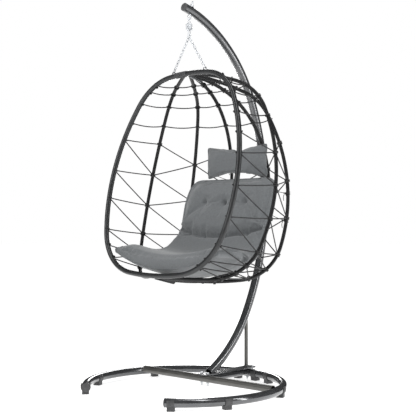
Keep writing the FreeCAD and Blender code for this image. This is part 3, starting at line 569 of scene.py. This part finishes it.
BOUND_REACH, STRIP_PITCH, STRIP_RADIUS = 13.4 * MM, 5.4 * MM, 2.0 * MM
joint_line = [middle_at("hoop_left", -x * MM) for x in range(14, 92, 6)]
shape = bmesh.new()
roll_tube(shape, wound_strip(joint_line, BOUND_REACH, STRIP_PITCH), STRIP_RADIUS, 6)
finish_piece("apex_binding", shape, hoop_binding, "basket")

# %% [markdown]
# ** The spring.** The coil under the eye bolt softens each sway. Its wire has a constant thickness,
# and its end turns lie flat, because they are ground to sit square in their hooks. It shortens when
# somebody sits down.

# %% Wind the spring
coil_low, coil_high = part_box("spring_coil")
WIRE_RADIUS = 2 * MM
coil_reach = (coil_high.x - coil_low.x) / 2 - WIRE_RADIUS
coil_middle = (coil_low + coil_high) / 2
TURNS, STEPS = 6, 40
climb_room = coil_high.z - coil_low.z - 2 * WIRE_RADIUS
coil_points = []
for number in range(TURNS * STEPS + 1):
    share = number / (TURNS * STEPS)
    eased = min(max((share - 0.10) / 0.80, 0), 1)
    turn = 2 * math.pi * number / STEPS
    coil_points.append(Vector((
        coil_middle.x + coil_reach * math.cos(turn),
        coil_middle.y + coil_reach * math.sin(turn),
        coil_low.z + WIRE_RADIUS + climb_room * eased)))
shape = bmesh.new()
roll_tube(shape, coil_points, WIRE_RADIUS, 10)
spring = finish_piece("spring_coil_wound", shape, bright_zinc, "spring_upper")
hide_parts("spring_coil")
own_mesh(spring)

# %% [markdown]
# **Weld beads.** Tubes that meet are joined by a fillet weld, laid as a row of overlapping drops and
# painted over with the rest. Each is a ring whose thickness rises and falls every three millimetres.

# %% Lay the welds
def weld_ring(shape, centre, axis, reach, thickness=2.4 * MM):
    """A painted fillet weld round a tube."""
    axis = Vector(axis).normalized()
    side = axis.orthogonal().normalized()
    other = axis.cross(side)
    steps = 96
    ring = []
    for number in range(steps):
        turn = 2 * math.pi * number / steps
        ring.append(Vector(centre) + (side * math.cos(turn) + other * math.sin(turn)) * reach)

    def ripple(travelled, _share):
        return thickness * (1 + 0.18 * math.sin(2 * math.pi * travelled / (3 * MM)))

    roll_tube(shape, ring, ripple, 8, closed=True)


strut_low, strut_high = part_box("brace_strut")
strut_middle = (strut_low + strut_high) / 2
collar_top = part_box("strut_collar")[1].z
shape = bmesh.new()
weld_ring(shape, (strut_middle.x, strut_middle.y, collar_top), (0, 0, 1), 11 * MM)
finish_piece("strut_weld", shape, grey_powder_coat, "stand")

# %% [markdown]
# **The pad.** Seat and back are one long bag of polyester, filled with fibre and stitched through
# where it has to bend. It starts as a copy of the frame's smooth shape, made a little smaller. The
# stitches are drawn in and held, and air pressure fills the cover, so the cloth itself finds the
# rounded puffs and the creases that run out from each stitch.

# %% Start the pad from the frame's shape
PAD_INSET = 4 * MM
PAD_SWEEP = 0.42
PAD_WIDEN, CORNER_TUCK, SEAT_WIDEN = 1.010, 0.09, 0.004
TOP_PUFF = (0.0, 0.004, 0.016)
FRONT_DROP = 8 * MM
egg_middle = Vector((0, pivot.y + 0.03, 1.06))


def soft_start(node, name, voxel_mm):
    """A copy of a soft part with an even mesh, as a new piece."""
    shape = bmesh.new()
    shape.from_mesh(NODES[node].data)
    bmesh.ops.remove_doubles(shape, verts=shape.verts, dist=0.01 * MM)
    mesh = bpy.data.meshes.new(name)
    shape.to_mesh(mesh)
    shape.free()
    piece = bpy.data.objects.new(name, mesh)
    bpy.context.collection.objects.link(piece)
    even = piece.modifiers.new("even", "REMESH")
    even.mode, even.voxel_size, even.use_smooth_shade = "VOXEL", voxel_mm * MM, True
    settled = bpy.data.meshes.new_from_object(piece.evaluated_get(bpy.context.evaluated_depsgraph_get()))
    piece.modifiers.remove(even)
    piece.data = settled
    return piece


def points_of(mesh, what="vertices"):
    """All the places or directions of a mesh's vertices, as rows."""
    source = getattr(mesh, what)
    rows = np.zeros(len(source) * 3, np.float32)
    source.foreach_get("co" if what == "vertices" else "vector", rows)
    return rows.reshape(-1, 3).astype(float)


pad = soft_start("seat_back_cushion", "seat_back_pad", 7.5)
pad_rest = points_of(pad.data)
pad_out = points_of(pad.data, "vertex_normals")
faces_sitter = ((np.array(egg_middle) - pad_rest) * pad_out).sum(1) > 0
print("pad vertices:", len(pad_rest))

# %% [markdown]
# The stitches are few: three pulls high on the back, a sewn line with four pulls where the
# back meets the small of the sitter's back, and gathers along the seat's rim. Each is given as a
# place, a depth and a width.

# %% Draw the stitches in
def pull_at(places, radius, depth_front, depth_rear):
    """How far each vertex is drawn in by stitches at these places."""
    drawn = np.zeros(len(pad_rest))
    for x, z in places:
        away = np.hypot(pad_rest[:, 0] - x, pad_rest[:, 2] - z)
        on_back = pad_rest[:, 1] > pivot.y + 0.17
        near = np.exp(-(away / radius) ** 2) * on_back
        drawn = np.maximum(drawn, near * np.where(faces_sitter, depth_front, depth_rear))
    return drawn


def seam_height(x):
    """The sewn line across the back, which dips in the middle."""
    return 0.768 + 0.5 * x ** 2


on_back = pad_rest[:, 1] > pivot.y + 0.13
off_seam = pad_rest[:, 2] - seam_height(pad_rest[:, 0])
seam = np.exp(-(off_seam / 0.014) ** 2) * on_back * np.where(faces_sitter, 0.022, 0.008)
middle_pull = pull_at([(0, 0.945)], 0.013, 0.032, 0.012)
side_pulls = pull_at([(-0.14, 0.95), (0.14, 0.95)], 0.014, 0.022, 0.01)
buttons = np.maximum(middle_pull, side_pulls)
pulls = pull_at([(x, seam_height(x)) for x in (-0.20, -0.08, 0.07, 0.20)], 0.018, 0.030, 0.010)
gathers = np.zeros(len(pad_rest))
for y, width, depth in ((0.0, 0.018, 0.014), (0.12, 0.026, 0.022)):
    away = np.hypot(pad_rest[:, 1] - pivot.y - y, (np.abs(pad_rest[:, 0]) - 0.385) * 0.5)
    on_rim = (np.abs(pad_rest[:, 0]) > 0.28) & (pad_rest[:, 2] < 0.80)
    gathers = np.maximum(gathers, np.exp(-(away / width) ** 2) * on_rim * depth)
drawn = np.maximum.reduce([seam, buttons, pulls, gathers])
pad_start = pad_rest - pad_out * (PAD_INSET + drawn)[:, None]
top_share = np.clip((pad_rest[:, 2] - 0.96) / 0.09, 0, 1)
pad_start += np.outer(top_share ** 2 * (3 - 2 * top_share), TOP_PUFF)
pad_start[:, 0] *= PAD_WIDEN
corner_share = np.clip((pad_rest[:, 2] - 1.01) / 0.045, 0, 1)
pad_start[:, 0] *= 1 - CORNER_TUCK * corner_share ** 2
front_share = np.clip((pivot.y - 0.06 - pad_rest[:, 1]) / 0.10, 0, 1)
pad_start[:, 2] -= FRONT_DROP * front_share
pad_start[:, 0] *= 1 + SEAT_WIDEN * np.clip((0.80 - pad_rest[:, 2]) / 0.08, 0, 1)
pad.data.vertices.foreach_set("co", pad_start.astype(np.float32).ravel())
sewn = pad.vertex_groups.new(name="sewn")
held = (seam > 0.018) | (buttons > 0.018) | (pulls > 0.024) | (gathers > 0.012)
sewn.add([int(number) for number in np.flatnonzero(held)], 1.0, "REPLACE")
print("held by stitches:", int(held.sum()))

# %% [markdown]
# The cloth solver now fills the cover with air. Gravity is off, because the real pad lies on its net
# and doesn't sag. Afterwards no point may be further from its start than a limit: on the sitter's
# side the cover may rise freely, and below it stops where the net begins.

# %% Fill a cover
def fill_cover(piece, pressure, slack, limit, steps=20):
    """Blow up a closed cover with the cloth solver, and keep each point within a limit."""
    start = points_of(piece.data)
    filling = piece.modifiers.new("filling", "CLOTH")
    wanted = filling.settings
    wanted.quality, wanted.use_pressure, wanted.uniform_pressure_force = 5, True, pressure
    wanted.effector_weights.gravity = 0
    wanted.shrink_min = -slack
    if "sewn" in piece.vertex_groups:
        wanted.vertex_group_mass = "sewn"
    filling.point_cache.frame_start, filling.point_cache.frame_end = 1, steps
    for number in range(1, steps + 1):
        bpy.context.scene.frame_set(number)
    full = piece.evaluated_get(bpy.context.evaluated_depsgraph_get())
    moved = points_of(full.data) - start
    piece.modifiers.remove(filling)
    bpy.context.scene.frame_set(1)
    reach = np.linalg.norm(moved, axis=1)
    kept = moved * np.minimum(1, limit / np.maximum(reach, 1e-9))[:, None]
    piece.data.vertices.foreach_set("co", (start + kept).astype(np.float32).ravel())
    piece.data.update()
    print(piece.name, "moved at most", round(float(reach.max()) * 1000, 1), "mm")


def lay_cloth_map(mesh, across, along):
    """Give a cover a UV map in metres, so that its weave follows it."""
    uv_map = mesh.uv_layers.new(name="UVMap")
    corners = np.zeros(len(mesh.loops), np.int32)
    mesh.loops.foreach_get("vertex_index", corners)
    flat = np.stack([across[corners], along[corners]], 1).astype(np.float32)
    uv_map.data.foreach_set("uv", flat.ravel())


fill_cover(pad, 4.0, 0.018, np.where(faces_sitter, 0.014, PAD_INSET))
pad_full = points_of(pad.data)
round_angle = np.arctan2(pad_full[:, 2] - egg_middle.z, pad_full[:, 1] - egg_middle.y)
lay_cloth_map(pad.data, pad_full[:, 0], round_angle * PAD_SWEEP)
pad.data.shade_smooth()
pad.data.materials.clear()
pad.data.materials.append(pad_cloth)
smoother = pad.modifiers.new("smoother", "SUBSURF")
smoother.levels = smoother.render_levels = 1
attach(pad, "basket")
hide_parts("seat_back_cushion")

# %% [markdown]
# The two halves of the cover are closed by a seam with a cord in it, the piping. It runs along the
# widest line of the pad. That line is read from the filled pad itself: the point furthest out at
# each angle on either side, and the outermost points of the front and top edges between them.

# %% Pipe the pad's rim
def smoothed(points, rounds=3):
    """A closed line with its small jogs evened out."""
    for _ in range(rounds):
        points = [(points[number - 1] + here * 2 + points[(number + 1) % len(points)]) / 4
                  for number, here in enumerate(points)]
    return points


def rim_of_pad():
    """The widest line of the filled pad, as a closed row of points."""
    turns = np.degrees(round_angle)
    first, last = np.percentile(turns, 1.5), np.percentile(turns, 98.5)
    sides = {}
    for side in (-1, 1):
        line = []
        for low in np.linspace(first, last, 46)[:-1]:
            in_band = (turns >= low) & (turns < low + (last - first) / 45)
            band = np.flatnonzero(in_band & (pad_full[:, 0] * side > 0))
            line.append(Vector(pad_full[band[np.argmax(pad_full[band, 0] * side)]]))
        sides[side] = line
    half = min(abs(sides[1][0].x), abs(sides[-1][0].x))
    front, top = [], []
    for x in np.linspace(-0.88 * half, 0.88 * half, 24):
        band = np.flatnonzero(np.abs(pad_full[:, 0] - x) < 0.012)
        front.append(Vector(pad_full[band[np.argmin(pad_full[band, 1])]]))
    half = min(abs(sides[1][-1].x), abs(sides[-1][-1].x))
    for x in np.linspace(-0.88 * half, 0.88 * half, 24):
        band = np.flatnonzero(np.abs(pad_full[:, 0] - x) < 0.012)
        top.append(Vector(pad_full[band[np.argmax(pad_full[band, 2])]]))
    return sides[-1] + top + sides[1][::-1] + front[::-1]


pad_rim = smoothed(rim_of_pad())
shape = bmesh.new()
roll_tube(shape, pad_rim, PIPING_RADIUS, 8, closed=True)
finish_piece("pad_piping", shape, piping_cloth, "basket")
print("pad piping points:", len(pad_rim))

# %% [markdown]
# **The head pillow.** A small pillow is two flat rectangles of cloth sewn round their edge and
# stuffed. Filling pulls the sides in between the corners, which stay sharp. So it is made in the
# same way: two sheets that share their edge, filled with the cloth solver.

# %% Sew and fill the pillow
pillow_low, pillow_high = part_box("head_pillow")
pillow_middle = (pillow_low + pillow_high) / 2
PILLOW_CUT = (pillow_high.x - pillow_low.x + 0.002, pillow_high.z - pillow_low.z + 0.002)
pillow_middle.z += 6 * MM
COLUMNS, ROWS = 60, 24
EDGE_CROWN = 0.09
shape = bmesh.new()
for front in (-1, 1):
    sheet = bmesh.ops.create_grid(shape, x_segments=COLUMNS, y_segments=ROWS, size=0.5)["verts"]
    for vert in sheet:
        inside = 0.0 if max(abs(vert.co.x), abs(vert.co.y)) > 0.499 else 1.0
        vert.co = Vector((vert.co.x * PILLOW_CUT[0], front * inside * 3 * MM, vert.co.y * PILLOW_CUT[1]))
bmesh.ops.remove_doubles(shape, verts=shape.verts, dist=0.1 * MM)
bmesh.ops.recalc_face_normals(shape, faces=shape.faces)
for vert in shape.verts:
    vert.co.z *= 1 + EDGE_CROWN * (1 - (2 * vert.co.x / PILLOW_CUT[0]) ** 2)
    vert.co += pillow_middle
pillow_mesh = bpy.data.meshes.new("head_pillow_cover")
shape.to_mesh(pillow_mesh)
shape.free()
pillow = bpy.data.objects.new("head_pillow_cover", pillow_mesh)
bpy.context.collection.objects.link(pillow)
flat = points_of(pillow_mesh)
flat_x = flat[:, 0] - pillow_middle.x
flat_z = (flat[:, 2] - pillow_middle.z) / (1 + EDGE_CROWN * (1 - (2 * flat_x / PILLOW_CUT[0]) ** 2))
lay_cloth_map(pillow_mesh, flat_x, flat_z)
corner = (np.abs(flat_x) > PILLOW_CUT[0] * 0.497) & (np.abs(flat_z) > PILLOW_CUT[1] * 0.497)
corners = pillow.vertex_groups.new(name="sewn")
corners.add([int(number) for number in np.flatnonzero(corner)], 1.0, "REPLACE")
fill_cover(pillow, 3.0, 0.035, np.full(len(flat), 0.036), steps=24)
pillow_mesh.shade_smooth()
pillow_mesh.materials.append(pillow_cloth)
smoother = pillow.modifiers.new("smoother", "SUBSURF")
smoother.levels = smoother.render_levels = 1
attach(pillow, "basket")
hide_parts("head_pillow")

# %% [markdown]
# The pillow's edge has piping too. Its seam is the shared edge of the two sheets, so its points are
# put in order by walking round the flat cut, and the piping follows where they came to rest.

# %% Pipe the pillow
pillow_full = points_of(pillow_mesh)
edge_share = np.maximum(np.abs(flat_x) / PILLOW_CUT[0], np.abs(flat_z) / PILLOW_CUT[1]) * 2
edge = np.flatnonzero(edge_share > 0.999)
walk = np.arctan2(flat_z[edge] / PILLOW_CUT[1], flat_x[edge] / PILLOW_CUT[0])
pillow_rim = [Vector(pillow_full[number]) for number in edge[np.argsort(walk)]]
shape = bmesh.new()
roll_tube(shape, smoothed(pillow_rim, 1), PIPING_RADIUS, 8, closed=True)
finish_piece("pillow_piping", shape, piping_cloth, "basket")

# %% [markdown]
# **Ties.** Pillow and pad hang on the ribs by thin cords: each is sewn into the seam, goes twice
# round a rib and ends in a knot with two short tails. The places of the loops are in the frame.

# %% Tie the soft pieces on
TIE_RADIUS = 1.6 * MM


def tie_on(node, name, seam_points):
    """Cords from the nearest places on a seam, wound round the ribs and knotted."""
    shape = bmesh.new()
    near = KDTree(len(seam_points))
    for number, point in enumerate(seam_points):
        near.insert(point, number)
    near.balance()
    for middle, axis, reach in rods_and_rings(node)[1]:
        sewn_at = near.find(middle)[0]
        toward = (sewn_at - middle).normalized()
        toward = (toward - axis * toward.dot(axis)).normalized()
        leaves = middle + toward * reach
        roll_tube(shape, hitch(middle, axis, reach, 2), TIE_RADIUS, 8)
        roll_tube(shape, sagging_run(leaves, sewn_at, 0.03), TIE_RADIUS, 8)
        knot = leaves + toward * 5 * MM
        roll_tube(shape, hitch(knot, toward, 2.6 * MM, 2), TIE_RADIUS, 8)
        for lean in (-1, 1):
            tail_end = knot + Vector((lean * 9, 3, -38)) * MM
            bow = [knot.lerp(tail_end, share) + Vector((lean * 6 * MM * math.sin(share * math.pi), 0, 0))
                   for share in (0, 0.15, 0.3, 0.5, 0.7, 0.85, 1)]
            roll_tube(shape, bow, TIE_RADIUS, 8)
    piece = finish_piece(name, shape, net_cord, "basket")
    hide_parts(node)


tie_on("pillow_ties", "pillow_tie_cords", pillow_rim)
tie_on("cushion_ties", "pad_tie_cords", pad_rim)
